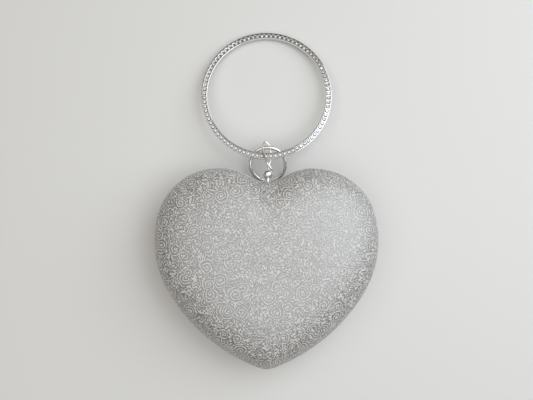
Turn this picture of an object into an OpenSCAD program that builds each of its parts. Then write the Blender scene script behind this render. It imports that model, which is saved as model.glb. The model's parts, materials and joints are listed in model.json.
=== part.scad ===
// Heart-shaped hard-shell evening clutch with a ring handle, lying on its back.
// Origin: centre of the flat resting face. +Z up from the table, +Y towards the cleft
// and handle, +X to the right. Millimetres.

/* [Heart outline] */
// centre of the right lobe, across
lobe_x = 36.8; // [30:0.1:45]
// centre of the lobes, up from the origin
lobe_y = 31; // [20:0.1:40]
// radius of a lobe
lobe_r = 47; // [40:0.1:55]
// angle at which the lobe hands over to the hip
lobe_end = 15.3; // [5:0.1:30]
// radius of the hip, the widest stretch
hip_r = 76.8; // [60:0.1:90]
// angle at which the hip hands over to the flank
hip_end = -31.9; // [-40:0.1:-10]
// radius of the long flank
flank_r = 136.7; // [100:0.1:160]
// radius of the tip
tip_r = 15.7; // [10:0.1:24]
// radius of the soft cleft between the lobes
cleft_r = 25.7; // [15:0.1:40]

/* [Case] */
// height of the joint between the two halves
split_z = 28; // [20:0.5:36]
// overall thickness of the case
case_h = 56; // [40:1:70]
// straight part of each rim before the dome starts
rim_h = 3.8; // [2:0.1:6]
// fullness of the domes, larger is boxier
dome_power = 3.5; // [2:0.1:4]
// how far up the back dome the resting flat is cut
back_cut = 72; // [60:1:80]
// outer face of the cloth, in from the outline
cover_d = 0.1; // [0.1:0.05:0.5]
// how far each layer steps in where it stands in its frame
foot_in = 0.4; // [0.2:0.05:1]
// thickness of the cloth
cover_t = 0.6; // [0.4:0.1:1.2]
// thickness of the moulded shell
shell_t = 1.6; // [1.0:0.1:3]
// thickness of the lining
lining_t = 0.7; // [0.4:0.1:1.5]

/* [Frames] */
// how far the frame stands proud of the outline
frame_proud = 0.1; // [0:0.05:0.5]
// inner reach of the frame channel
frame_in = 4.7; // [4.2:0.1:6]
// thickness of the outer wall inside the outline
frame_wall = 0.42; // [0.3:0.02:0.45]
// half of the gap between the two frames
frame_gap = 0.05; // [0.02:0.01:0.2]

/* [Hinge] */
// hinge axis, down from the origin
hinge_y = -72.6; // [-75:0.1:-70]
// radius of the knuckles
knuckle_r = 1.25; // [1:0.05:2]
// radius of the hinge pin
pin_r = 0.6; // [0.5:0.05:1]
// radial running gap of the pin
pin_gap = 0.03; // [0.01:0.01:0.1]

/* [Catch] */
// the catch stands this far right of the middle
catch_x = 1.1; // [-2:0.1:2]
// radius of the ball that is pushed
ball_r = 3.8; // [2.5:0.1:5]
// centre of the ball along Y
ball_y = 73.7; // [71:0.1:76]
// height of the stem axis
stem_z = 31.1; // [30:0.1:33]
// stem radius
stem_r = 0.9; // [0.6:0.05:1.5]

/* [Handle chain] */
// the eye stands this far right of the middle
eye_x = 1.4; // [-2:0.1:2]
// eye centre on the back frame
eye_y = 71; // [70:0.1:73]
// eye centre height
eye_z = 24.5; // [22:0.1:26]
// length of the link between the ends of its centreline
link_len = 30.15; // [26:0.05:36]
// half width of the link across its strands
link_wide = 5.1; // [4:0.1:6]
// how far the link leans to the left over its length
link_lean = 1.9; // [0:0.1:4]
// slope of the link down from the eye
link_dip = 20.7; // [10:0.1:30]
// wire radius of the link
link_wire = 0.8; // [0.6:0.05:1.2]
// centreline radius of the O-ring
oring_r = 13.7; // [10:0.05:18]
// wire radius of the O-ring
oring_wire = 1.45; // [1:0.05:2]
// the O-ring lies this far right of the middle
oring_x = 1.1; // [-2:0.1:2]
// upper end of the O-ring
oring_y = 94.9; // [90:0.1:98]
// height of the O-ring's upper end
oring_z = 15.7; // [12:0.1:20]
// slope of the O-ring down towards the case
oring_dip = 20; // [0:0.5:30]
// centreline radius of the handle ring
handle_r = 48.7; // [40:0.1:60]
// where the handle ring hangs in the link
handle_y = 87.7; // [84:0.1:92]
// height of the handle there
handle_z = 18.5; // [15:0.1:22]
// slope of the handle down to the table
handle_dip = 9.6; // [0:0.1:20]
// stones round the handle
stones = 86; // [60:1:100]
// girdle radius of a stone
stone_r = 1.5; // [1.2:0.05:1.8]

/* [Hidden] */
$fn = 48;

function u(t) = [cos(t), sin(t)];
lobe_c = [lobe_x, lobe_y];
hip_c = lobe_c - (hip_r - lobe_r) * u(lobe_end);
flank_c = hip_c - (flank_r - hip_r) * u(hip_end);
flank_end = -acos(-flank_c.x / (flank_r - tip_r));
tip_c = flank_c + (flank_r - tip_r) * u(flank_end);
cleft_c = [0, lobe_y + sqrt(pow(lobe_r + cleft_r, 2) - lobe_x * lobe_x)];
lobe_start = atan2(cleft_c.y - lobe_y, -lobe_x);
cleft_y = cleft_c.y - cleft_r;
tip_y = tip_c.y - tip_r;

// points along one arc, without its last point
function arc(c, r, a, b, n) = [for (i = [0:n - 1]) c + r * u(a + (b - a) * i / n)];
// right half of the outline moved in by d, from the tip to the cleft
function right_side(d) = concat(
  arc(tip_c, tip_r - d, -90, flank_end, 2),
  arc(flank_c, flank_r - d, flank_end, hip_end, 9),
  arc(hip_c, hip_r - d, hip_end, lobe_end, 5),
  arc(lobe_c, lobe_r - d, lobe_end, lobe_start, 12),
  arc(cleft_c, cleft_r + d, lobe_start - 180, -90, 4));
function flip(p) = [for (i = [len(p) - 1:-1:1]) [-p[i].x, p[i].y]];
function outline(d) = let (r = right_side(d))
  concat(r, [[0, cleft_c.y - cleft_r - d]], flip(r));

// one row of a dome: the outline drawn in and rounded off as it climbs
function swell(phi) = pow(max(cos(phi), 0.0001), 2 / dome_power);
function row(d, phi) = let (o = outline(d), s = swell(phi), w = pow(1 - s, 1.3) * 0.9)
  [for (p = o) let (a = atan2(p.y, p.x)) s * ((1 - w) * p + w * (74 - d) * u(a))];

count = len(outline(0));
front_rise = case_h - split_z - rim_h;
back_rise = (split_z - rim_h) / sin(back_cut) + cover_d;
// z of a row above the split plane, k = 0 is the foot in the channel
function skin(d, rise, top, steps) = concat(
  [for (p = row(d + foot_in, 0)) [p.x, p.y, 1.3]],
  [for (p = row(d + foot_in, 0)) [p.x, p.y, 3.55]],
  [for (k = [0:steps - 1]) let (phi = top * k / steps)
    for (p = row(d, phi)) [p.x, p.y, rim_h + (rise - d) * sin(phi)]],
  (top < 90) ? [for (p = row(d, top)) [p.x, p.y, rim_h + (rise - d) * sin(top)]] : [],
  [[0, 0, rim_h + (rise - d) * sin(top)]]);
function bands(o, n, rows, up) = [for (k = [0:rows - 2]) for (i = [0:n - 1])
  let (a = o + k * n + i, b = o + k * n + (i + 1) % n)
  each up ? [[a, a + n, b], [b, a + n, b + n]] : [[a, b, a + n], [b, b + n, a + n]]];
function fan(o, n, rows, up) = [for (i = [0:n - 1])
  let (a = o + (rows - 1) * n + i, b = o + (rows - 1) * n + (i + 1) % n, c = o + rows * n)
  up ? [a, c, b] : [a, b, c]];
function foot(m, n) = [for (i = [0:n - 1]) let (j = (i + 1) % n)
  each [[i, j, m + i], [j, m + j, m + i]]];

// a layer of the case between two depths, above z = 0
module layer(d0, d1, rise, top, steps) {
  a = skin(d0, rise, top, steps);
  b = skin(d1, rise, top, steps);
  rows = steps + 2 + (top < 90 ? 1 : 0);
  polyhedron(concat(a, b), concat(bands(0, count, rows, true), fan(0, count, rows, true),
    bands(len(a), count, rows, false), fan(len(a), count, rows, false), foot(len(a), count)),
    convexity = 6);
}
module front_half() translate([0, 0, split_z]) children();
module back_half() translate([0, 0, split_z]) mirror([0, 0, 1]) children();
module front_layer(d0, d1) front_half() difference() {
  layer(d0, d1, front_rise, 90, 9);
  hinge_room();
  translate([catch_x - 4.8, 55, -1]) cube([9.6, 20, 6.3]);
}
module back_layer(d0, d1) back_half() difference() {
  layer(d0, d1, back_rise, back_cut, 8);
  hinge_room();
}
module hinge_room() translate([-8.3, -80, -1]) cube([16.6, 9.6, 3.3]);

module front_cover() color([0.62, 0.62, 0.63]) front_layer(cover_d, cover_d + cover_t);
module back_cover() color([0.62, 0.62, 0.63]) back_layer(cover_d, cover_d + cover_t);
shell_d = cover_d + cover_t + 0.1;
module front_shell() color([0.3, 0.3, 0.32]) front_layer(shell_d, shell_d + shell_t);
module back_shell() color([0.3, 0.3, 0.32]) back_layer(shell_d, shell_d + shell_t);
lining_d = shell_d + shell_t + 0.1;
module front_lining() color([0.75, 0.74, 0.72]) front_layer(lining_d, lining_d + lining_t);
module back_lining() color([0.75, 0.74, 0.72]) back_layer(lining_d, lining_d + lining_t);

// channel section of a frame, x measured out from the outline
section = [[-frame_in, frame_gap], [frame_proud - 0.1, frame_gap],
  [frame_proud, frame_gap + 0.1], [frame_proud, 3.4], [frame_proud - 0.1, 3.5],
  [-frame_wall, 3.5], [-frame_wall, 1.2], [0.8 - frame_in, 1.2], [0.8 - frame_in, 3.7],
  [-frame_in, 3.7]];
// the section carried round the outline
module frame_loop() {
  m = len(section);
  loops = [for (s = section) outline(-s.x)];
  difference() {
    polyhedron([for (k = [0:m - 1]) for (p = loops[k]) [p.x, p.y, section[k].y]],
      [for (k = [0:m - 1]) for (i = [0:count - 1]) let (j = (i + 1) % count,
        l = (k + 1) % m, a = k * count + i, b = k * count + j, c = l * count + i,
        d = l * count + j) each [[a, c, b], [b, c, d]]], convexity = 8);
    translate([-8.2, -80, -1]) cube([16.4, 80 - 70.6, 8]);
  }
}
module rivet_holes(r, y1) for (x = [-5.3, 5.3]) translate([x, y1, 0.7]) rotate([90, 0, 0])
  cylinder(r = r, h = 3.4, $fn = 24);
module front_frame() color([0.86, 0.86, 0.87]) front_half() difference() {
  frame_loop();
  translate([catch_x - 4.6, 60, 1.2]) cube([9.2, 12, 5]);
  rivet_holes(0.42, -69.7);
  for (x = [-2.7, 2.7]) translate([catch_x + x, 65.9, -1])
    cylinder(r = 0.62, h = 4, $fn = 24);
}
module back_frame() color([0.86, 0.86, 0.87]) back_half() difference() {
  frame_loop();
  rivet_holes(0.42, -69.7);
}

// hinge at the tip
module front_hinge_leaf() color([0.8, 0.8, 0.81]) difference() {
  translate([0, 0, split_z]) union() {
    translate([-8.1, -71.3, 0.1]) cube([16.2, 0.7, 1.9]);
    translate([-1.2, hinge_y, 0.1]) cube([2.4, -71.3 - hinge_y, 1.0]);
    translate([-1.2, hinge_y, 0]) rotate([0, 90, 0]) cylinder(r = knuckle_r, h = 2.4);
  }
  translate([-3, hinge_y, split_z]) rotate([0, 90, 0]) cylinder(r = pin_r + pin_gap, h = 6);
  translate([0, 0, split_z]) rivet_holes(0.42, -69.7);
}
module back_hinge_leaf() color([0.8, 0.8, 0.81]) difference() {
  translate([0, 0, split_z]) mirror([0, 0, 1]) union() {
    translate([-8.1, -71.3, 0.1]) cube([16.2, 0.7, 1.9]);
    for (x = [-3.6, 1.4]) {
      translate([x, hinge_y, 0.1]) cube([2.2, -71.3 - hinge_y, 1.0]);
      translate([x, hinge_y, 0]) rotate([0, 90, 0]) cylinder(r = knuckle_r, h = 2.2);
    }
  }
  translate([-9, hinge_y, split_z]) rotate([0, 90, 0]) cylinder(r = pin_r + pin_gap, h = 18);
  translate([0, 0, split_z]) mirror([0, 0, 1]) rivet_holes(0.42, -69.7);
}
module hinge_pin() color([0.8, 0.8, 0.81]) translate([0, hinge_y, split_z])
  rotate([0, 90, 0]) union() {
    translate([0, 0, -3.85]) cylinder(r = pin_r, h = 7.7);
    for (z = [-3.85, 3.6]) translate([0, 0, z]) cylinder(r = 0.95, h = 0.25);
  }
module rivets() for (x = [-5.3, 5.3]) translate([x, -69.8, 0.7]) rotate([90, 0, 0])
  cylinder(r = 0.4, h = 1.5, $fn = 24);
module front_hinge_rivets() color([0.8, 0.8, 0.81]) front_half() rivets();
module back_hinge_rivets() color([0.8, 0.8, 0.81]) back_half() rivets();

// push-ball catch at the cleft
module along_y(y, z) translate([catch_x, y, z]) rotate([-90, 0, 0]) children();
module catch_ball() color([0.9, 0.9, 0.91]) difference() {
  translate([catch_x, ball_y, stem_z]) sphere(r = ball_r);
  along_y(60, stem_z) cylinder(r = stem_r + 0.02, h = ball_y - 60);
}
module catch_stem() color([0.82, 0.82, 0.83]) union() {
  along_y(58.9, stem_z) cylinder(r = stem_r, h = ball_y - 58.9 - 0.02);
  along_y(69.7, stem_z) difference() {
    cylinder(r = 1.9, h = 0.9);
    translate([0, 0, ball_y - 69.7]) sphere(r = ball_r + 0.02);
  }
}
module catch_housing() color([0.82, 0.82, 0.83]) difference() {
  translate([catch_x - 4.5, 58.4, split_z + 1.2]) cube([9, 9.5, 4.0]);
  translate([catch_x - 3.6, 59.4, split_z]) cube([7.2, 4.3, 8]);
  along_y(55, stem_z) cylinder(r = stem_r + 0.05, h = 20);
  for (x = [-2.7, 2.7]) translate([catch_x + x, 65.9, split_z - 1])
    cylinder(r = 0.62, h = 4, $fn = 24);
}
module catch_screws() color([0.7, 0.7, 0.71]) for (x = [-2.7, 2.7])
  translate([catch_x + x, 65.9, split_z + 0.1]) cylinder(r = 0.6, h = 2.7, $fn = 24);
module latch_plate() color([0.8, 0.8, 0.81]) difference() {
  union() {
    translate([catch_x - 3.2, 61.0, 25.3]) cube([6.4, 1.0, 7.3]);
    translate([catch_x - 2.4, 62.0, 25.3]) cube([4.8, 0.25, 0.9]);
  }
  along_y(55, stem_z) cylinder(r = stem_r + 0.02, h = 20);
}
module latch_nut() color([0.75, 0.75, 0.76]) difference() {
  along_y(62.02, stem_z) cylinder(r = 1.7, h = 1.0, $fn = 6);
  along_y(55, stem_z) cylinder(r = stem_r + 0.02, h = 20);
}
module catch_spring() color([0.7, 0.7, 0.71]) for (y = [59.65, 60.2, 60.75])
  along_y(y, stem_z) rotate_extrude() translate([1.45, 0]) circle(r = 0.24, $fn = 20);
module keeper() color([0.8, 0.8, 0.81]) difference() {
  translate([catch_x - 3, 62.35, 26.35]) cube([6, 5, 1.1]);
  translate([0, cleft_c.y, 20]) cylinder(r = cleft_r + frame_in, h = 20, $fn = 240);
}

// handle chain
module handle_eye() color([0.84, 0.84, 0.85]) difference() {
  intersection() {
    union() {
      translate([eye_x - 1.1, eye_y, eye_z]) rotate([0, 90, 0]) cylinder(r = 2.4, h = 2.2);
      translate([eye_x - 1.1, 66, split_z - 3.4]) cube([2.2, eye_y - 66, 3.1]);
    }
    translate([0, cleft_c.y, 10]) cylinder(r = cleft_r - frame_proud - 0.06, h = 30, $fn = 180);
  }
  translate([eye_x - 2, eye_y, eye_z]) rotate([0, 90, 0]) cylinder(r = 1.3, h = 4);
}

// the two strands of the link turn about its length as they run out
link_turns = [[0, 6], [0.14, 28], [0.284, 90], [0.59, 123], [0.83, 147], [1, 165]];
function turn(x) = lookup(x, link_turns);
function link_at(t) = let (x = (1 - cos(t)) / 2,
    s = sign(sin(t)) * pow(abs(sin(t)), 0.7 + 0.45 * x), a = turn(x),
    side = link_wide * s * cos(a) - link_lean * x, up = 6.6 * s * sin(a), run = link_len * x)
  [side, run * cos(link_dip) + up * sin(link_dip),
   -run * sin(link_dip) + up * cos(link_dip)];
function unit(v) = v / norm(v);
function dot3(a, b) = a * b;
steps = 44;
sides = 12;
link_pts = [for (i = [0:steps - 1]) link_at(360 * (i + 0.5) / steps)];
link_dirs = [for (i = [0:steps - 1])
  unit(link_pts[(i + 1) % steps] - link_pts[(i + steps - 1) % steps])];
// carry a side vector along the wire without twisting it
function carried(i) = i == 0 ? unit(cross(link_dirs[0], [0.3, 0.2, 1]))
  : let (p = carried(i - 1), d = link_dirs[i]) unit(p - (p * d) * d);
function carry_all(i, acc) = i == steps ? acc
  : carry_all(i + 1, concat(acc, [let (p = acc[i - 1], d = link_dirs[i])
      unit(p - (p * d) * d)]));
link_side = carry_all(1, [carried(0)]);
// what is left over at the end of the loop is spread back along it
function last_side() = let (p = link_side[steps - 1], d = link_dirs[0])
  unit(p - (p * d) * d);
slip = atan2(cross(link_side[0], last_side()) * link_dirs[0], link_side[0] * last_side());
module twisted_link() color([0.84, 0.84, 0.85]) translate([eye_x, eye_y, eye_z]) polyhedron(
  [for (i = [0:steps - 1]) let (p = link_pts[i], a = link_side[i],
      b = cross(link_dirs[i], a))
    for (k = [0:sides - 1]) let (t = 360 * k / sides - slip * i / steps)
      p + link_wire * (cos(t) * a + sin(t) * b)],
  [for (i = [0:steps - 1]) for (k = [0:sides - 1])
    let (j = (i + 1) % steps, m = (k + 1) % sides, p = i * sides + k, q = i * sides + m,
      r = j * sides + k, s = j * sides + m)
    each [[p, r, q], [q, r, s]]], convexity = 8);

module o_ring() color([0.84, 0.84, 0.85]) translate([oring_x, oring_y, oring_z])
  rotate([oring_dip, 0, 0]) translate([0, -oring_r, 0])
  rotate_extrude($fn = 96) translate([oring_r, 0]) circle(r = oring_wire, $fn = 32);

module on_handle() translate([0, handle_y, handle_z]) rotate([-handle_dip, 0, 0])
  translate([0, handle_r, 0]) children();
module handle_ring() color([0.84, 0.84, 0.85]) on_handle() rotate_extrude($fn = 120)
  translate([handle_r, 0]) polygon([[-2.3, -1.1], [-1.3, -2.1], [1.3, -2.1], [2.3, -1.1],
    [2.3, 1.8], [2.0, 2.1], [1.6, 2.1], [1.6, 0], [-1.6, 0], [-1.6, 2.1],
    [-2.0, 2.1], [-2.3, 1.8]]);
module stone() rotate_extrude($fn = 32) polygon([[0, 0.02], [stone_r, 1.2], [stone_r, 1.45],
  [0.85, 2.1], [0, 2.1]]);
module handle_stones() color([0.92, 0.93, 0.95]) on_handle()
  for (i = [0:stones - 1]) rotate([0, 0, 360 * (i + 0.5) / stones])
    translate([handle_r, 0, 0]) stone();

back_cover();
back_shell();
back_lining();
back_frame();
front_cover();
front_shell();
front_lining();
front_frame();
back_hinge_leaf();
front_hinge_leaf();
hinge_pin();
back_hinge_rivets();
front_hinge_rivets();
handle_eye();
twisted_link();
o_ring();
handle_ring();
handle_stones();
catch_ball();
catch_stem();
latch_plate();
latch_nut();
catch_spring();
catch_housing();
catch_screws();
keeper();
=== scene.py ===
import bpy
import json
import math
import random
from mathutils import Matrix, Vector


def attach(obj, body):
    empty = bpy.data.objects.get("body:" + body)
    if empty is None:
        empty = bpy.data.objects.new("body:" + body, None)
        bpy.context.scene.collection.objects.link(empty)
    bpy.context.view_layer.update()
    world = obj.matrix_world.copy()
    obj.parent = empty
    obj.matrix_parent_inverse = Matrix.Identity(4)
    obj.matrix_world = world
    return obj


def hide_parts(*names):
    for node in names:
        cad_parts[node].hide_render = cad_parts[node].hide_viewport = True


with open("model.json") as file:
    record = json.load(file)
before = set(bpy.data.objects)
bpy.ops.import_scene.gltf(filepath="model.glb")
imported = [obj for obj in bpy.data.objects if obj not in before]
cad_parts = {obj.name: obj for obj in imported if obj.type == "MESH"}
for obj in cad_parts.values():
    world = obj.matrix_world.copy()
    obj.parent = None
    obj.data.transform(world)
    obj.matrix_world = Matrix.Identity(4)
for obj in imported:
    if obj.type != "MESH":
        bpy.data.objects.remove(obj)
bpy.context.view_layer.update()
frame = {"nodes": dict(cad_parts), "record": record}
random.seed(11)
mm = 0.001
print("frame loaded")


# small helpers for working by hand in code
def clearSelection():
    if bpy.context.object and bpy.context.object.mode != "OBJECT":
        bpy.ops.object.mode_set(mode="OBJECT")
    bpy.ops.object.select_all(action="DESELECT")


def pick(ob):
    clearSelection()
    ob.select_set(True)
    bpy.context.view_layer.objects.active = ob


def newestObject(name):
    ob = bpy.context.active_object
    ob.name = name
    ob.data.name = name
    return ob


def editAll(ob):
    pick(ob)
    bpy.ops.object.mode_set(mode="EDIT")
    bpy.ops.mesh.select_all(action="SELECT")


def doneEditing():
    bpy.ops.object.mode_set(mode="OBJECT")


def chooseFaces(ob, test):
    bpy.ops.object.mode_set(mode="OBJECT")
    for f in ob.data.polygons:
        f.select = bool(test(f))
    for v in ob.data.vertices:
        v.select = False
    for e in ob.data.edges:
        e.select = False
    bpy.ops.object.mode_set(mode="EDIT")
    bpy.ops.mesh.select_mode(type="FACE")


def tidyNormals(ob, weld=1e-6):
    editAll(ob)
    bpy.ops.mesh.remove_doubles(threshold=weld)
    bpy.ops.mesh.normals_make_consistent(inside=False)
    doneEditing()


def applyModifier(ob, kind, **settings):
    pick(ob)
    m = ob.modifiers.new(kind.title(), kind)
    for key, value in settings.items():
        setattr(m, key, value)
    bpy.ops.object.modifier_apply(modifier=m.name)


def smooth(ob, angle=35):
    pick(ob)
    bpy.ops.object.shade_smooth_by_angle(angle=math.radians(angle))


def place(ob, matrix):
    pick(ob)
    ob.matrix_world = matrix
    bpy.ops.object.transform_apply(location=True, rotation=True, scale=True)


# takes a box out of a piece, between two corners given in millimetres
def cutBox(ob, low, high):
    size = [(b - a) * mm for a, b in zip(low, high)]
    mid = [(a + b) / 2 * mm for a, b in zip(low, high)]
    clearSelection()
    bpy.ops.mesh.primitive_cube_add(size=1, location=mid, scale=size)
    cutter = bpy.context.active_object
    applyModifier(ob, "BOOLEAN", operation="DIFFERENCE", object=cutter, solver="EXACT")
    bpy.data.objects.remove(cutter, do_unlink=True)


def paint(ob, material):
    ob.data.materials.clear()
    ob.data.materials.append(material)


# camera, floor and light
camera = {"x": 0.0, "y": 0.054, "height": 0.650, "lens": 55.1, "sensor": 36, "near": 0.01}

camData = bpy.data.cameras.new("camera")
camData.lens = camera["lens"]
camData.sensor_width = camera["sensor"]
camData.clip_start = camera["near"]
cam = bpy.data.objects.new("camera", camData)
cam.location = (camera["x"], camera["y"], camera["height"])
bpy.context.scene.collection.objects.link(cam)
bpy.context.scene.camera = cam

tabletop = {"size": 3.0, "drop": 0.0002, "colour": (0.80, 0.80, 0.80, 1), "roughness": 0.45}

clearSelection()
bpy.ops.mesh.primitive_plane_add(size=tabletop["size"], location=(0, 0, -tabletop["drop"]))
floor = newestObject("tabletop")
floorMaterial = bpy.data.materials.new("paleTable")
floorMaterial.use_nodes = True
floorShader = floorMaterial.node_tree.nodes["Principled BSDF"]
floorShader.inputs["Base Color"].default_value = tabletop["colour"]
floorShader.inputs["Roughness"].default_value = tabletop["roughness"]
paint(floor, floorMaterial)

# where each soft panel hangs and what it points at, with its size, power and colour
lights = {
    "window": {"at": (0.66, 0.34, 0.80), "aim": (0, 0.05, 0), "size": 1.1, "power": 6.7,
               "colour": (0.87, 0.945, 1.0)},
    "overhead": {"at": (-0.14, -0.16, 1.3), "aim": (-0.14, -0.16, 0), "size": 2.0, "power": 10.6,
                 "colour": (0.938, 0.975, 1.0)},
}
for name, values in lights.items():
    data = bpy.data.lights.new(name, "AREA")
    data.size = values["size"]
    data.energy = values["power"]
    data.color = values["colour"]
    lamp = bpy.data.objects.new(name, data)
    lamp.location = values["at"]
    lamp.rotation_euler = (Vector(values["aim"]) - Vector(values["at"])).to_track_quat("-Z", "Y").to_euler()
    bpy.context.scene.collection.objects.link(lamp)

# the room is darker round the horizon and behind the tip than overhead
room = {"dark": (0.074, 0.050, 0.026, 1), "bright": (0.30, 0.255, 0.195, 1), "towards": (0.22, 0.38, 0.90),
        "from": -0.1, "to": 0.85}
world = bpy.data.worlds.new("room")
world.use_nodes = True
sky = world.node_tree
direction = sky.nodes.new("ShaderNodeTexCoord")
facing = sky.nodes.new("ShaderNodeVectorMath")
facing.operation = "DOT_PRODUCT"
facing.inputs[1].default_value = room["towards"]
climb = sky.nodes.new("ShaderNodeMapRange")
climb.inputs["From Min"].default_value = room["from"]
climb.inputs["From Max"].default_value = room["to"]
shade = sky.nodes.new("ShaderNodeMix")
shade.data_type = "RGBA"
shade.inputs["A"].default_value = room["dark"]
shade.inputs["B"].default_value = room["bright"]
sky.links.new(direction.outputs["Generated"], facing.inputs[0])
sky.links.new(facing.outputs["Value"], climb.inputs["Value"])
sky.links.new(climb.outputs[0], shade.inputs["Factor"])
sky.links.new(shade.outputs["Result"], sky.nodes["Background"].inputs["Color"])
bpy.context.scene.world = world
bpy.context.scene.view_settings.view_transform = "Standard"
print("camera and light set")


# material helpers
def newMaterial(name):
    m = bpy.data.materials.new(name)
    m.use_nodes = True
    return m, m.node_tree, m.node_tree.nodes["Principled BSDF"]


def addNode(tree, kind, **settings):
    n = tree.nodes.new(kind)
    for key, value in settings.items():
        setattr(n, key, value)
    return n


def sums(tree, operation, a, b=None, c=None):
    n = addNode(tree, "ShaderNodeMath", operation=operation)
    for socket, value in zip(n.inputs, (a, b, c)):
        if value is None:
            continue
        if isinstance(value, (int, float)):
            socket.default_value = value
        else:
            tree.links.new(value, socket)
    return n.outputs[0]


def vectorSums(tree, operation, a, b=None):
    n = addNode(tree, "ShaderNodeVectorMath", operation=operation)
    for socket, value in zip(n.inputs, (a, b)):
        if value is None:
            continue
        if isinstance(value, tuple):
            socket.default_value = value
        else:
            tree.links.new(value, socket)
    return n.outputs["Value"] if operation in ("LENGTH", "DISTANCE", "DOT_PRODUCT") else n.outputs[0]


def groupWith(name, inputs, outputs):
    g = bpy.data.node_groups.new(name, "ShaderNodeTree")
    for label, kind, value in inputs:
        s = g.interface.new_socket(name=label, in_out="INPUT", socket_type=kind)
        if value is not None:
            s.default_value = value
    for label, kind in outputs:
        g.interface.new_socket(name=label, in_out="OUTPUT", socket_type=kind)
    return g, g.nodes.new("NodeGroupInput"), g.nodes.new("NodeGroupOutput")


def useGroup(tree, group, values=None):
    n = tree.nodes.new("ShaderNodeGroup")
    n.node_tree = group
    for key, value in (values or {}).items():
        if hasattr(value, "is_linked"):
            tree.links.new(value, n.inputs[key])
        else:
            n.inputs[key].default_value = value
    return n


# curls in some of the patches, each wound its own way, and wandering lines between them
scroll = {"waverScale": 190, "randomness": 0.9, "wanderScale": 0.66, "wanderTurns": 2.8, "curlLeast": 0.33,
          "curlMore": 0.22, "breakScale": 820, "breakDepth": 2.6, "dotFrom": 0.2, "dotTo": 0.42}
scrollGroup, gIn, gOut = groupWith("scrollLines", [
    ("Vector", "NodeSocketVector", None),
    ("Curl size", "NodeSocketFloat", 0.0098),
    ("Line pitch", "NodeSocketFloat", 0.0023),
    ("Waver", "NodeSocketFloat", 0.003),
    ("Curl share", "NodeSocketFloat", 0.5),
], [("Line", "NodeSocketFloat"), ("Dot", "NodeSocketFloat")])
t = scrollGroup
waver = addNode(t, "ShaderNodeTexNoise", noise_dimensions="2D")
waver.inputs["Scale"].default_value = scroll["waverScale"]
waver.inputs["Detail"].default_value = 1
t.links.new(gIn.outputs["Vector"], waver.inputs["Vector"])
centred = vectorSums(t, "SUBTRACT", waver.outputs["Color"], (0.5, 0.5, 0.5))
push = addNode(t, "ShaderNodeVectorMath", operation="SCALE")
t.links.new(centred, push.inputs[0])
t.links.new(gIn.outputs["Waver"], push.inputs["Scale"])
wavy = vectorSums(t, "ADD", gIn.outputs["Vector"], push.outputs[0])
cells = addNode(t, "ShaderNodeTexVoronoi", voronoi_dimensions="2D", feature="F1")
cells.inputs["Randomness"].default_value = scroll["randomness"]
t.links.new(wavy, cells.inputs["Vector"])
t.links.new(sums(t, "DIVIDE", 1.0, gIn.outputs["Curl size"]), cells.inputs["Scale"])
split = addNode(t, "ShaderNodeSeparateXYZ")
t.links.new(vectorSums(t, "SUBTRACT", wavy, cells.outputs["Position"]), split.inputs[0])
tone = addNode(t, "ShaderNodeSeparateColor")
t.links.new(cells.outputs["Color"], tone.inputs[0])
spin = sums(t, "ARCTAN2", split.outputs["Y"], split.outputs["X"])
hand = sums(t, "SUBTRACT", sums(t, "MULTIPLY", sums(t, "GREATER_THAN", tone.outputs[0], 0.5), 2.0), 1.0)
flatAway = addNode(t, "ShaderNodeCombineXYZ")
t.links.new(split.outputs["X"], flatAway.inputs["X"])
t.links.new(split.outputs["Y"], flatAway.inputs["Y"])
reach = vectorSums(t, "LENGTH", flatAway.outputs[0])
turnsOut = sums(t, "MULTIPLY", sums(t, "DIVIDE", reach, gIn.outputs["Line pitch"]), 2 * math.pi)
wound = sums(t, "ADD", turnsOut, sums(t, "MULTIPLY", spin, hand))
startTurn = sums(t, "MULTIPLY", tone.outputs[1], 6.28)
curlWave = sums(t, "SINE", sums(t, "ADD", wound, startTurn))
wander = addNode(t, "ShaderNodeTexNoise", noise_dimensions="2D")
wander.inputs["Detail"].default_value = 0.0
t.links.new(gIn.outputs["Vector"], wander.inputs["Vector"])
t.links.new(sums(t, "DIVIDE", scroll["wanderScale"], gIn.outputs["Line pitch"]), wander.inputs["Scale"])
wanderWave = sums(t, "SINE", sums(t, "MULTIPLY", wander.outputs["Fac"], 2 * math.pi * scroll["wanderTurns"]))
curlReach = sums(t, "MULTIPLY_ADD", tone.outputs[1], scroll["curlMore"], scroll["curlLeast"])
curlRadius = sums(t, "MULTIPLY", curlReach, gIn.outputs["Curl size"])
inReach = sums(t, "LESS_THAN", reach, curlRadius)
chosen = sums(t, "LESS_THAN", tone.outputs[2], gIn.outputs["Curl share"])
inCurl = sums(t, "MULTIPLY", inReach, chosen)
wave = addNode(t, "ShaderNodeMix", data_type="FLOAT")
t.links.new(inCurl, wave.inputs["Factor"])
t.links.new(wanderWave, wave.inputs["A"])
t.links.new(curlWave, wave.inputs["B"])
broken = addNode(t, "ShaderNodeTexNoise", noise_dimensions="2D")
broken.inputs["Scale"].default_value = scroll["breakScale"]
t.links.new(gIn.outputs["Vector"], broken.inputs["Vector"])
gaps = sums(t, "MULTIPLY_ADD", broken.outputs["Fac"], scroll["breakDepth"], -scroll["breakDepth"] / 2)
brokenWave = sums(t, "ADD", wave.outputs["Result"], gaps)
t.links.new(sums(t, "MULTIPLY_ADD", brokenWave, 0.5, 0.5), gOut.inputs["Line"])
dot = addNode(t, "ShaderNodeMapRange")
t.links.new(reach, dot.inputs["Value"])
t.links.new(sums(t, "MULTIPLY", gIn.outputs["Line pitch"], scroll["dotFrom"]), dot.inputs["From Min"])
t.links.new(sums(t, "MULTIPLY", gIn.outputs["Line pitch"], scroll["dotTo"]), dot.inputs["From Max"])
dot.inputs["To Min"].default_value = 1
dot.inputs["To Max"].default_value = 0
t.links.new(sums(t, "MULTIPLY", dot.outputs[0], chosen), gOut.inputs["Dot"])

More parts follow.
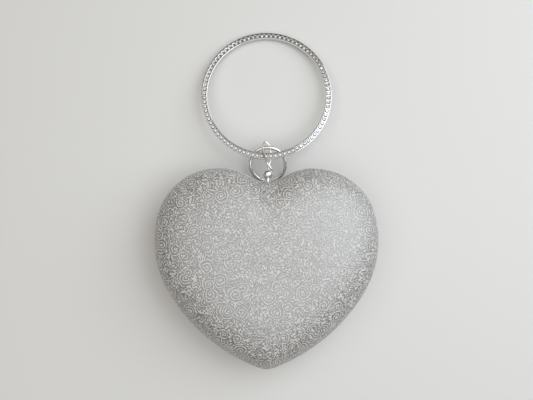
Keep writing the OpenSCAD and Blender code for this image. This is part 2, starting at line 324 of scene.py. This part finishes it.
# flakes of glitter, each with its own tilt
flakeGroup, gIn, gOut = groupWith("glitterFlakes", [
    ("Vector", "NodeSocketVector", None),
    ("Flake size", "NodeSocketFloat", 0.0004),
], [("Tone", "NodeSocketFloat"), ("Lean", "NodeSocketFloat")])
t = flakeGroup
flakes = addNode(t, "ShaderNodeTexVoronoi", voronoi_dimensions="2D", feature="F1")
t.links.new(gIn.outputs["Vector"], flakes.inputs["Vector"])
t.links.new(sums(t, "DIVIDE", 1.0, gIn.outputs["Flake size"]), flakes.inputs["Scale"])
tone = addNode(t, "ShaderNodeSeparateColor")
t.links.new(flakes.outputs["Color"], tone.inputs[0])
t.links.new(tone.outputs[0], gOut.inputs["Tone"])
t.links.new(tone.outputs[1], gOut.inputs["Lean"])

# fine handling marks and uneven polish
polish = {"cloudScale": 160, "markScale": 1900, "relief": 0.06, "depth": 0.0001}
polishGroup, gIn, gOut = groupWith("handledPolish", [
    ("Vector", "NodeSocketVector", None),
    ("Base roughness", "NodeSocketFloat", 0.12),
    ("Unevenness", "NodeSocketFloat", 0.1),
], [("Roughness", "NodeSocketFloat"), ("Marks", "NodeSocketFloat")])
t = polishGroup
cloud = addNode(t, "ShaderNodeTexNoise")
cloud.inputs["Scale"].default_value = polish["cloudScale"]
cloud.inputs["Detail"].default_value = 4
t.links.new(gIn.outputs["Vector"], cloud.inputs["Vector"])
fine = addNode(t, "ShaderNodeTexNoise")
fine.inputs["Scale"].default_value = polish["markScale"]
fine.inputs["Detail"].default_value = 2
t.links.new(gIn.outputs["Vector"], fine.inputs["Vector"])
both = sums(t, "MULTIPLY", sums(t, "ADD", cloud.outputs["Fac"], fine.outputs["Fac"]), 0.5)
uneven = sums(t, "MULTIPLY_ADD", both, gIn.outputs["Unevenness"], gIn.outputs["Base roughness"])
t.links.new(uneven, gOut.inputs["Roughness"])
t.links.new(both, gOut.inputs["Marks"])


# cloth, linings, metal and stones
glitter = {"ground": (0.485, 0.485, 0.495, 1), "line": (0.78, 0.78, 0.78, 1), "curl": 0.0125, "pitch": 0.0020,
           "waver": 0.0027, "share": 0.44, "flake": 0.0004, "lineFrom": 0.56, "lineTo": 0.82,
           "groundMetal": 0.86, "lineMetal": 0.0, "roughness": 0.42, "roughSpread": 0.22, "flakeDark": 0.82,
           "flakeSpread": 0.36, "relief": 0.6, "depth": 0.00034}


def makeGlitterCloth():
    material, tree, shader = newMaterial("glitterCloth")
    uv = addNode(tree, "ShaderNodeUVMap", uv_map="cloth")
    lines = useGroup(tree, scrollGroup, {"Vector": uv.outputs[0], "Curl size": glitter["curl"],
                                         "Line pitch": glitter["pitch"], "Waver": glitter["waver"],
                                         "Curl share": glitter["share"]})
    line = addNode(tree, "ShaderNodeMapRange")
    line.inputs["From Min"].default_value = glitter["lineFrom"]
    line.inputs["From Max"].default_value = glitter["lineTo"]
    tree.links.new(lines.outputs["Line"], line.inputs["Value"])
    mask = sums(tree, "MAXIMUM", line.outputs[0], lines.outputs["Dot"])
    flakes = useGroup(tree, flakeGroup, {"Vector": uv.outputs[0], "Flake size": glitter["flake"]})
    mix = addNode(tree, "ShaderNodeMix", data_type="RGBA")
    mix.inputs["A"].default_value = glitter["ground"]
    mix.inputs["B"].default_value = glitter["line"]
    tree.links.new(mask, mix.inputs["Factor"])
    sparkle = addNode(tree, "ShaderNodeMix", data_type="RGBA", blend_type="MULTIPLY")
    sparkle.inputs["Factor"].default_value = 1
    tree.links.new(mix.outputs["Result"], sparkle.inputs["A"])
    lift = sums(tree, "MULTIPLY_ADD", flakes.outputs["Tone"], glitter["flakeSpread"], glitter["flakeDark"])
    grey = addNode(tree, "ShaderNodeCombineColor")
    for k in range(3):
        tree.links.new(lift, grey.inputs[k])
    tree.links.new(grey.outputs[0], sparkle.inputs["B"])
    tree.links.new(sparkle.outputs["Result"], shader.inputs["Base Color"])
    tree.links.new(sums(tree, "MULTIPLY_ADD", flakes.outputs["Lean"], glitter["roughSpread"],
                        glitter["roughness"]), shader.inputs["Roughness"])
    tree.links.new(sums(tree, "MULTIPLY_ADD", mask, glitter["lineMetal"] - glitter["groundMetal"],
                        glitter["groundMetal"]), shader.inputs["Metallic"])
    height = sums(tree, "MULTIPLY_ADD", mask, 0.8, sums(tree, "MULTIPLY", flakes.outputs["Lean"], 0.3))
    bump = addNode(tree, "ShaderNodeBump")
    bump.inputs["Strength"].default_value = glitter["relief"]
    bump.inputs["Distance"].default_value = glitter["depth"]
    tree.links.new(height, bump.inputs["Height"])
    tree.links.new(bump.outputs[0], shader.inputs["Normal"])
    return material


satin = {"low": (0.36, 0.35, 0.34, 1), "high": (0.50, 0.49, 0.47, 1), "weave": 900, "cloud": 28, "sheen": 0.4,
         "roughness": 0.32, "roughSpread": 0.2, "relief": 0.25, "depth": 0.0002}


def makeSatin():
    material, tree, shader = newMaterial("satinLining")
    uv = addNode(tree, "ShaderNodeUVMap", uv_map="cloth")
    weave = addNode(tree, "ShaderNodeTexWave", wave_type="BANDS", bands_direction="DIAGONAL")
    weave.inputs["Scale"].default_value = satin["weave"]
    weave.inputs["Distortion"].default_value = 0.6
    tree.links.new(uv.outputs[0], weave.inputs["Vector"])
    cloud = addNode(tree, "ShaderNodeTexNoise")
    cloud.inputs["Scale"].default_value = satin["cloud"]
    tree.links.new(uv.outputs[0], cloud.inputs["Vector"])
    ramp = addNode(tree, "ShaderNodeMix", data_type="RGBA")
    ramp.inputs["A"].default_value = satin["low"]
    ramp.inputs["B"].default_value = satin["high"]
    tree.links.new(cloud.outputs["Fac"], ramp.inputs["Factor"])
    tree.links.new(ramp.outputs["Result"], shader.inputs["Base Color"])
    tree.links.new(sums(tree, "MULTIPLY_ADD", cloud.outputs["Fac"], satin["roughSpread"], satin["roughness"]),
                   shader.inputs["Roughness"])
    shader.inputs["Sheen Weight"].default_value = satin["sheen"]
    bump = addNode(tree, "ShaderNodeBump")
    bump.inputs["Strength"].default_value = satin["relief"]
    bump.inputs["Distance"].default_value = satin["depth"]
    tree.links.new(weave.outputs["Fac"], bump.inputs["Height"])
    tree.links.new(bump.outputs[0], shader.inputs["Normal"])
    return material


def makeMetal(name, colour, roughness, uneven, metallic=1.0):
    material, tree, shader = newMaterial(name)
    spot = addNode(tree, "ShaderNodeTexCoord")
    worn = useGroup(tree, polishGroup, {"Vector": spot.outputs["Object"], "Base roughness": roughness,
                                        "Unevenness": uneven})
    tint = addNode(tree, "ShaderNodeMix", data_type="RGBA")
    tint.inputs["A"].default_value = tuple(c * 0.9 for c in colour) + (1,)
    tint.inputs["B"].default_value = colour + (1,)
    tree.links.new(worn.outputs["Marks"], tint.inputs["Factor"])
    tree.links.new(tint.outputs["Result"], shader.inputs["Base Color"])
    tree.links.new(worn.outputs["Roughness"], shader.inputs["Roughness"])
    shader.inputs["Metallic"].default_value = metallic
    bump = addNode(tree, "ShaderNodeBump")
    bump.inputs["Strength"].default_value = polish["relief"]
    bump.inputs["Distance"].default_value = polish["depth"]
    tree.links.new(worn.outputs["Marks"], bump.inputs["Height"])
    tree.links.new(bump.outputs[0], shader.inputs["Normal"])
    return material


crystal = {"cloud": 700, "coat": 0.8, "coatRoughness": 0.02}


# a foil-backed stone: the table facet returns light, painted in as a pale base colour (a painted highlight); the
# crown goes dark and bright, its dark base colour painted shade under its own reflections
def makeCrystal(name, low, high, metallic, roughness):
    material, tree, shader = newMaterial(name)
    spot = addNode(tree, "ShaderNodeTexCoord")
    cloud = addNode(tree, "ShaderNodeTexNoise")
    cloud.inputs["Scale"].default_value = crystal["cloud"]
    tree.links.new(spot.outputs["Object"], cloud.inputs["Vector"])
    tint = addNode(tree, "ShaderNodeMix", data_type="RGBA")
    tint.inputs["A"].default_value = low
    tint.inputs["B"].default_value = high
    tree.links.new(cloud.outputs["Fac"], tint.inputs["Factor"])
    tree.links.new(tint.outputs["Result"], shader.inputs["Base Color"])
    shader.inputs["Roughness"].default_value = roughness
    shader.inputs["Metallic"].default_value = metallic
    shader.inputs["Coat Weight"].default_value = crystal["coat"]
    shader.inputs["Coat Roughness"].default_value = crystal["coatRoughness"]
    return material


glitterCloth = makeGlitterCloth()
satinLining = makeSatin()
silver = makeMetal("polishedSilver", (0.68, 0.68, 0.685), 0.05, 0.10)
chrome = makeMetal("brightSilver", (0.93, 0.93, 0.93), 0.05, 0.07)
steel = makeMetal("plainSteel", (0.56, 0.56, 0.58), 0.28, 0.2)
mouldedShell = makeMetal("mouldedShell", (0.09, 0.09, 0.10), 0.5, 0.2, metallic=0.0)
# the crown finish is a dark base colour, painted shade, and the table finish a pale one, a painted highlight: lit
# and shaded copies of one crystal
crown = makeCrystal("crystalCrownPaintedShade", (0.14, 0.145, 0.15, 1), (0.34, 0.35, 0.36, 1), 0.85, 0.10)
table = makeCrystal("crystalTablePaintedHighlight", (0.84, 0.86, 0.88, 1), (0.98, 0.98, 0.98, 1), 0.25, 0.12)
print("finishes made")


# the heart: five arcs a side, mirrored
heart = {"lobe": (36.8, 31.0), "lobeR": 47.0, "lobeEnd": 15.3, "hipR": 76.8, "hipEnd": -31.9,
         "flankR": 136.7, "tipR": 15.7, "cleftR": 25.7, "splitZ": 28.0, "rim": 3.8, "height": 56.0,
         "power": 3.5, "backCut": 72.0, "clothIn": 0.1, "footIn": 0.4}


def ray(angle):
    a = math.radians(angle)
    return Vector((math.cos(a), math.sin(a)))


def heartArcs():
    lobe = Vector(heart["lobe"])
    hip = lobe - (heart["hipR"] - heart["lobeR"]) * ray(heart["lobeEnd"])
    flank = hip - (heart["flankR"] - heart["hipR"]) * ray(heart["hipEnd"])
    run = heart["flankR"] - heart["tipR"]
    flankEnd = -math.degrees(math.acos(-flank.x / run))
    tip = flank + run * ray(flankEnd)
    rise = math.sqrt((heart["lobeR"] + heart["cleftR"]) ** 2 - lobe.x ** 2)
    cleft = Vector((0, lobe.y + rise))
    lobeStart = math.degrees(math.atan2(rise, -lobe.x))
    # centre, radius, first and last angle, which way the offset goes
    return [(tip, heart["tipR"], -90, flankEnd, -1),
            (flank, heart["flankR"], flankEnd, heart["hipEnd"], -1),
            (hip, heart["hipR"], heart["hipEnd"], heart["lobeEnd"], -1),
            (lobe, heart["lobeR"], heart["lobeEnd"], lobeStart, -1),
            (cleft, heart["cleftR"], lobeStart - 180, -90, 1)]


arcs = heartArcs()
arcLengths = [abs(b - a) * math.radians(1) * r for c, r, a, b, s in arcs]


# share runs 0 to 1 from the tip round the right side to the cleft
def heartPoint(share, inset):
    left = share * sum(arcLengths)
    for (c, r, a, b, s), length in zip(arcs, arcLengths):
        if left <= length or (c, r, a, b, s) == arcs[-1]:
            return c + (r + s * inset) * ray(a + (b - a) * min(1, left / length))
        left -= length


def heartLoop(inset, count):
    half = count // 2
    right = [heartPoint(i / half, inset) for i in range(half + 1)]
    return right + [Vector((-p.x, p.y)) for p in reversed(right[1:-1])]


dome = {"around": 288, "rows": 30, "round": 0.9, "roundPower": 1.3, "roundR": 74, "foot": (1.3, 3.5),
        "crowding": 1.15, "lastRow": 0.985}


# the outline as it shrinks over the crown, going round as it does so
def domePoint(p, inset, phi):
    s = max(math.cos(phi), 1e-4) ** (2 / heart["power"])
    w = dome["round"] * (1 - s) ** dome["roundPower"]
    return s * ((1 - w) * p + w * (dome["roundR"] - inset) * p.normalized())


# one layer of a case half, from its foot in the frame up over the crown
def makeDome(name, inset, thickness, up):
    n = dome["around"]
    loop = heartLoop(inset, n)
    footLoop = heartLoop(inset + heart["footIn"], n)
    topAngle = math.radians(90 if up else heart["backCut"])
    span = heart["splitZ"] - heart["rim"]
    rise = (span if up else span / math.sin(topAngle)) + (0 if up else heart["clothIn"])
    side = 1 if up else -1
    clearSelection()
    bpy.ops.mesh.primitive_circle_add(vertices=n, radius=0.08, location=(0, 0, 0))
    ob = newestObject(name)
    rings = [[Vector((p.x, p.y, z)) for p in footLoop] for z in dome["foot"]]
    layRing(ob, n, rings[0], side)
    steps = dome["rows"]
    lastRow = dome["lastRow"] if up else 1
    for k in range(steps + 1):
        phi = topAngle * (1 - (1 - k / steps) ** dome["crowding"]) * lastRow
        z = heart["rim"] + (rise - inset) * math.sin(phi)
        rings.append([Vector((q.x, q.y, z)) for q in (domePoint(p, inset, phi) for p in loop)])
    for ring in rings[1:]:
        editRing(ob, n)
        bpy.ops.mesh.extrude_edges_move(TRANSFORM_OT_translate={"value": (0, 0, side * mm)})
        doneEditing()
        layRing(ob, n, ring, side)
    # the crown is closed with a fan of small triangles, round a flat ring on the back
    editRing(ob, n)
    if not up:
        bpy.ops.mesh.extrude_edges_move(TRANSFORM_OT_translate={"value": (0, 0, 0)})
        bpy.ops.transform.resize(value=(0.5, 0.5, 1), center_override=(0, 0, 0))
    bpy.ops.mesh.extrude_edges_move(TRANSFORM_OT_translate={"value": (0, 0, 0)})
    bpy.ops.mesh.merge(type="CENTER")
    doneEditing()
    top = heart["rim"] + (rise - inset) * (1 if up else math.sin(topAngle))
    ob.data.vertices[-1].co = (0, 0, (heart["splitZ"] + side * top) * mm)
    tidyNormals(ob)
    layCloth(ob, rings, side)
    applyModifier(ob, "SOLIDIFY", thickness=thickness * mm, offset=-1, use_even_offset=True)
    return ob


def editRing(ob, n):
    pick(ob)
    bpy.ops.object.mode_set(mode="EDIT")
    bpy.ops.mesh.select_mode(type="VERT")
    bpy.ops.mesh.select_all(action="DESELECT")
    bpy.ops.object.mode_set(mode="OBJECT")
    total = len(ob.data.vertices)
    for v in ob.data.vertices[total - n:]:
        v.select = True
    bpy.ops.object.mode_set(mode="EDIT")
    bpy.ops.mesh.select_mode(type="EDGE")


def layRing(ob, n, ring, side):
    total = len(ob.data.vertices)
    for v, p in zip(ob.data.vertices[total - n:], ring):
        v.co = (p.x * mm, p.y * mm, (heart["splitZ"] + side * p.z) * mm)


# a flat pattern for the cloth: distance over the crown, in the direction from the middle
def layCloth(ob, rings, side):
    n = len(rings[0])
    layer = ob.data.uv_layers.new(name="cloth")
    marks = {}
    peak = Vector((0, 0, rings[-1][0].z))
    for i in range(n):
        walked = (rings[-1][i] - peak).length
        marks[spotKey(rings[-1][i], side)] = flatPlace(rings[-1][i], walked)
        for k in range(len(rings) - 2, -1, -1):
            walked += (rings[k][i] - rings[k + 1][i]).length
            marks[spotKey(rings[k][i], side)] = flatPlace(rings[k][i], walked)
    for loop in ob.data.loops:
        co = ob.data.vertices[loop.vertex_index].co
        spot = marks.get((round(co.x * 1e5), round(co.y * 1e5), round(co.z * 1e5)))
        layer.data[loop.index].uv = spot if spot else (co.x, co.y)


def spotKey(p, side):
    return (round(p.x * 100), round(p.y * 100), round((heart["splitZ"] + side * p.z) * 100))


def flatPlace(p, walked):
    d = Vector((p.x, p.y)).normalized() * walked * mm
    return (d.x, d.y)


# how far in from the outline each layer lies, and its thickness
depths = {"cloth": (0.1, 0.6), "lining": (2.5, 0.7)}
# the room cut for the hinge leaf, in the layers and in the frames, and for the catch stem: low and high corners
cuts = {"layerFront": ((-8.3, -80, 29.0), (8.3, -70.4, 30.3)), "layerBack": ((-8.3, -80, 25.7), (8.3, -70.4, 27.0)),
        "layerCatch": ((-3.7, 55, 27), (5.9, 75, 33.3)), "frameFront": ((-8.2, -80, 27.5), (8.2, -70.6, 34)),
        "frameBack": ((-8.2, -80, 22), (8.2, -70.6, 28.5)), "frameCatch": ((-3.5, 60, 29.2), (5.7, 72, 34))}
# each half's heart-shaped cloth and lining, cut round the hinge leaf and, on the front, the catch stem
for half, up in (("front", True), ("back", False)):
    body = "lid" if up else "back"
    for layerName, material, slotName, nodeName in (("cloth", glitterCloth, "glitter_cloth", "cover"),
                                                    ("lining", satinLining, "lining", "lining")):
        piece = makeDome(half + layerName.title(), depths[layerName][0], depths[layerName][1], up)
        cutBox(piece, *cuts["layer" + half.title()])
        if up:
            cutBox(piece, *cuts["layerCatch"])
        paint(piece, material)
        smooth(piece, 40)
        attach(piece, body)
        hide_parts(half + "_" + nodeName)
print("cloth and linings made")


# the two metal frames that edge the halves
frameSection = {"around": 288, "points": [
    (-4.7, 0.08), (0.0, 0.05), (0.07, 0.08), (0.1, 0.16), (0.1, 3.34), (0.06, 3.46), (-0.04, 3.5), (-0.36, 3.5),
    (-0.42, 3.44), (-0.42, 1.2), (-3.9, 1.2), (-3.9, 3.62), (-4.0, 3.7), (-4.6, 3.7), (-4.7, 3.62)]}


def makeFrame(name, up):
    n = frameSection["around"]
    side = 1 if up else -1
    points = frameSection["points"]
    clearSelection()
    bpy.ops.mesh.primitive_circle_add(vertices=n, radius=0.08, location=(0, 0, 0))
    ob = newestObject(name)
    for k, (out, z) in enumerate(points):
        ring = [Vector((p.x, p.y, z)) for p in heartLoop(-out, n)]
        if k:
            editRing(ob, n)
            bpy.ops.mesh.extrude_edges_move(TRANSFORM_OT_translate={"value": (0, 0, side * mm)})
            doneEditing()
        layRing(ob, n, ring, side)
    pick(ob)
    bpy.ops.object.mode_set(mode="EDIT")
    bpy.ops.mesh.select_mode(type="EDGE")
    bpy.ops.mesh.select_all(action="DESELECT")
    bpy.ops.mesh.select_non_manifold()
    bpy.ops.mesh.bridge_edge_loops()
    doneEditing()
    tidyNormals(ob)
    cutBox(ob, *cuts["frameFront" if up else "frameBack"])
    if up:
        cutBox(ob, *cuts["frameCatch"])
    smooth(ob, 30)
    paint(ob, silver)
    return ob


for half, up in (("front", True), ("back", False)):
    rimFrame = makeFrame(half + "RimFrame", up)
    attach(rimFrame, "lid" if up else "back")
    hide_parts(half + "_frame")
print("rim frames made")


# ring handle with its channel of stones
handle = {"r": 48.7, "at": (0, 87.7, 18.5), "dip": 9.6, "stones": 86, "steps": 172, "edge": [
    (-2.3, -0.9), (-2.1, -1.6), (-1.6, -2.0), (-1.0, -2.1), (1.0, -2.1), (1.6, -2.0), (2.1, -1.6),
    (2.3, -0.9), (2.3, 1.75), (2.22, 2.0), (2.02, 2.1), (1.78, 2.1), (1.62, 1.95), (1.6, 0.0),
    (-1.6, 0.0), (-1.62, 1.95), (-1.78, 2.1), (-2.02, 2.1), (-2.22, 2.0), (-2.3, 1.75)]}
stoneCut = {"r": 1.5, "girdle": 0.25, "girdleAt": 1.33, "crown": 0.62, "table": 0.68, "twist": 15,
            "pavilion": 1.15, "point": 0.08, "lean": 0.05, "leanAt": 1.2}
bead = {"r": 0.34, "out": 1.42, "up": 1.75}
handlePlace = (Matrix.Translation(Vector(handle["at"]) * mm) @ Matrix.Rotation(math.radians(-handle["dip"]), 4, "X")
               @ Matrix.Translation((0, handle["r"] * mm, 0)))


def makeHandle():
    clearSelection()
    bpy.ops.mesh.primitive_circle_add(vertices=len(handle["edge"]), radius=0.002, location=(0, 0, 0))
    ob = newestObject("ringHandle")
    for v, (x, z) in zip(ob.data.vertices, handle["edge"]):
        v.co = ((handle["r"] + x) * mm, 0, z * mm)
    editAll(ob)
    bpy.ops.mesh.spin(steps=handle["steps"], angle=2 * math.pi, center=(0, 0, 0), axis=(0, 0, 1))
    doneEditing()
    tidyNormals(ob)
    place(ob, handlePlace)
    smooth(ob, 40)
    paint(ob, silver)
    return ob


def makeStone():
    clearSelection()
    bpy.ops.mesh.primitive_cylinder_add(vertices=12, radius=stoneCut["r"] * mm, depth=stoneCut["girdle"] * mm,
                                        location=(0, 0, stoneCut["girdleAt"] * mm))
    ob = newestObject("stone")
    bpy.ops.object.mode_set(mode="EDIT")
    chooseFaces(ob, lambda f: f.normal.z > 0.9)
    bpy.ops.mesh.extrude_region_move(TRANSFORM_OT_translate={"value": (0, 0, stoneCut["crown"] * mm)})
    bpy.ops.transform.resize(value=(stoneCut["table"], stoneCut["table"], 1), center_override=(0, 0, 0))
    bpy.ops.transform.rotate(value=math.radians(stoneCut["twist"]), orient_axis="Z", center_override=(0, 0, 0))
    chooseFaces(ob, lambda f: f.normal.z < -0.9)
    bpy.ops.mesh.extrude_region_move(TRANSFORM_OT_translate={"value": (0, 0, -stoneCut["pavilion"] * mm)})
    bpy.ops.transform.resize(value=(stoneCut["point"], stoneCut["point"], 1), center_override=(0, 0, 0))
    bpy.ops.mesh.select_all(action="SELECT")
    bpy.ops.mesh.quads_convert_to_tris()
    doneEditing()
    place(ob, Matrix.Identity(4))
    return ob


def joinAll(objects, name):
    clearSelection()
    for o in objects:
        o.select_set(True)
    bpy.context.view_layer.objects.active = objects[0]
    bpy.ops.object.join()
    return newestObject(name)


def makeStones():
    stone = makeStone()
    copies = []
    for i in range(handle["stones"]):
        c = stone.copy()
        c.data = stone.data.copy()
        bpy.context.scene.collection.objects.link(c)
        turn = 2 * math.pi * (i + 0.5) / handle["stones"]
        most = stoneCut["lean"]
        leanX = Matrix.Rotation(random.uniform(-most, most), 4, "X")
        leanY = Matrix.Rotation(random.uniform(-most, most), 4, "Y")
        lift = Vector((0, 0, stoneCut["leanAt"] * mm))
        seat = Matrix.Translation(lift) @ leanX @ leanY @ Matrix.Translation(-lift)
        m = (handlePlace @ Matrix.Rotation(turn, 4, "Z") @ Matrix.Translation((handle["r"] * mm, 0, 0)) @ seat
             @ Matrix.Rotation(random.uniform(0, 6.28), 4, "Z"))
        c.data.transform(m)
        copies.append(c)
    bpy.data.objects.remove(stone, do_unlink=True)
    ob = joinAll(copies, "channelStones")
    place(ob, Matrix.Identity(4))
    ob.data.materials.clear()
    ob.data.materials.append(crown)
    ob.data.materials.append(table)
    facing = handlePlace.to_3x3() @ Vector((0, 0, 1))
    # facets facing straight out of the ring's front take the pale table finish, a painted highlight; all other
    # facets take the dark crown finish, painted shade
    for f in ob.data.polygons:
        f.material_index = 1 if f.normal.dot(facing) > 0.97 else 0
    return ob


def makeProngs():
    clearSelection()
    bpy.ops.mesh.primitive_ico_sphere_add(subdivisions=2, radius=bead["r"] * mm)
    one = newestObject("bead")
    bpy.ops.object.mode_set(mode="EDIT")
    chooseFaces(one, lambda f: f.normal.z < -0.6)
    bpy.ops.transform.resize(value=(1, 1, 0.4), center_override=(0, 0, 0))
    doneEditing()
    copies = []
    for i in range(handle["stones"]):
        for out in (-bead["out"], bead["out"]):
            c = one.copy()
            c.data = one.data.copy()
            bpy.context.scene.collection.objects.link(c)
            turn = 2 * math.pi * i / handle["stones"]
            c.data.transform(handlePlace @ Matrix.Rotation(turn, 4, "Z")
                             @ Matrix.Translation(((handle["r"] + out) * mm, 0, bead["up"] * mm)))
            copies.append(c)
    bpy.data.objects.remove(one, do_unlink=True)
    ob = joinAll(copies, "beadProngs")
    place(ob, Matrix.Identity(4))
    smooth(ob, 60)
    paint(ob, steel)
    return ob


ringHandle = makeHandle()
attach(ringHandle, "handle")
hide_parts("handle_ring")
channelStones = makeStones()
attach(channelStones, "handle")
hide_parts("handle_stones")
beadProngs = makeProngs()
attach(beadProngs, "handle")
print("ring handle made")


# O-ring, twisted link and push ball
oRing = {"r": 13.7, "wire": 1.5, "at": (1.1, 94.9, 15.7), "dip": 20, "seam": (-0.5, -0.86, 0), "seamWidth": 0.9995,
         "seamWaist": 0.965}


def makeORing():
    clearSelection()
    bpy.ops.mesh.primitive_torus_add(major_segments=120, minor_segments=28, major_radius=oRing["r"] * mm,
                                     minor_radius=oRing["wire"] * mm)
    ob = newestObject("oRing")
    bpy.ops.object.mode_set(mode="EDIT")
    # the brazed joint, a shallow waist at the lower left
    seam = Vector(oRing["seam"]).normalized()
    chooseFaces(ob, lambda f: Vector((f.center.x, f.center.y, 0)).normalized().dot(seam) > oRing["seamWidth"])
    middle = seam * oRing["r"] * mm
    bpy.ops.transform.resize(value=[oRing["seamWaist"]] * 3, center_override=middle)
    doneEditing()
    place(ob, Matrix.Translation(Vector(oRing["at"]) * mm) @ Matrix.Rotation(math.radians(oRing["dip"]), 4, "X")
          @ Matrix.Translation((0, -oRing["r"] * mm, 0)))
    smooth(ob, 60)
    paint(ob, chrome)
    return ob


link = {"length": 30.15, "dip": 20.7, "wire": 0.8, "at": (1.4, 71, 24.5), "wide": 5.1, "high": 6.6, "lean": 1.9,
        "points": 44, "turns": [(0, 6), (0.14, 28), (0.284, 90), (0.59, 123), (0.83, 147), (1, 165)]}


def linkTurn(x):
    for (x0, a0), (x1, a1) in zip(link["turns"], link["turns"][1:]):
        if x <= x1:
            return a0 + (a1 - a0) * (x - x0) / (x1 - x0)
    return link["turns"][-1][1]


def linkPoint(angle):
    x = (1 - math.cos(angle)) / 2
    s = math.copysign(abs(math.sin(angle)) ** (0.7 + 0.45 * x), math.sin(angle))
    a = math.radians(linkTurn(x))
    dip = math.radians(link["dip"])
    side = link["wide"] * s * math.cos(a) - link["lean"] * x
    up, run = link["high"] * s * math.sin(a), link["length"] * x
    return Vector((side, run * math.cos(dip) + up * math.sin(dip), -run * math.sin(dip) + up * math.cos(dip)))


def makeLink():
    count = link["points"]
    clearSelection()
    bpy.ops.curve.primitive_bezier_circle_add(radius=0.01, location=(0, 0, 0))
    ob = bpy.context.active_object
    ob.name = "twistedLink"
    curve = ob.data
    curve.splines.clear()
    s = curve.splines.new("NURBS")
    s.points.add(count - 1)
    for i in range(count):
        p = (linkPoint(2 * math.pi * (i + 0.5) / count) + Vector(link["at"])) * mm
        s.points[i].co = (p.x, p.y, p.z, 1)
    s.use_cyclic_u = True
    s.order_u = 3
    s.resolution_u = 5
    curve.dimensions = "3D"
    curve.bevel_depth = link["wire"] * mm
    curve.bevel_resolution = 5
    pick(ob)
    bpy.ops.object.convert(target="MESH")
    ob = newestObject("twistedLink")
    tidyNormals(ob)
    place(ob, Matrix.Identity(4))
    smooth(ob, 60)
    paint(ob, chrome)
    return ob


ball = {"r": 3.8, "at": (1.1, 73.7, 31.1), "seat": 0.96, "neck": 0.1,
        "collar": ((2.3, 0.1), (1.0, 0.3), (0.86, 0.05), (0.62, 0.0), (1.0, 1.8))}


# the ball and, on its case side, the stepped collar that it is screwed to
def makeBall():
    clearSelection()
    bpy.ops.mesh.primitive_uv_sphere_add(segments=48, ring_count=32, radius=ball["r"] * mm)
    ob = newestObject("pushBall")
    bpy.ops.object.mode_set(mode="EDIT")
    chooseFaces(ob, lambda f: f.center.z < -ball["seat"] * ball["r"] * mm)
    bpy.ops.mesh.extrude_region_move(TRANSFORM_OT_translate={"value": (0, 0, -ball["neck"] * mm)})
    for grow, drop in ball["collar"]:
        bpy.ops.mesh.extrude_region_move(TRANSFORM_OT_translate={"value": (0, 0, -drop * mm)})
        bpy.ops.transform.resize(value=(grow, grow, 1), center_override=(0, 0, 0))
    doneEditing()
    place(ob, Matrix.Translation(Vector(ball["at"]) * mm) @ Matrix.Rotation(math.radians(-90), 4, "X"))
    tidyNormals(ob)
    smooth(ob, 40)
    paint(ob, chrome)
    return ob


for piece, body, node in ((makeORing(), "o_ring", "o_ring"), (makeLink(), "link", "twisted_link"),
                          (makeBall(), "catch", "catch_ball")):
    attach(piece, body)
    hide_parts(node)
print("ring, link and ball made")

# what the case hides keeps its solid and gets its finish
finishes = {"steel": steel, "metal": silver, "shell": mouldedShell}
slotOf = {s["node"]: s["material_slot"] for s in frame["record"]["subparts"]}
for nodeName, ob in frame["nodes"].items():
    finish = finishes.get(slotOf.get(nodeName))
    if finish:
        for slot in ob.material_slots:
            slot.material = finish
print("hidden parts finished")
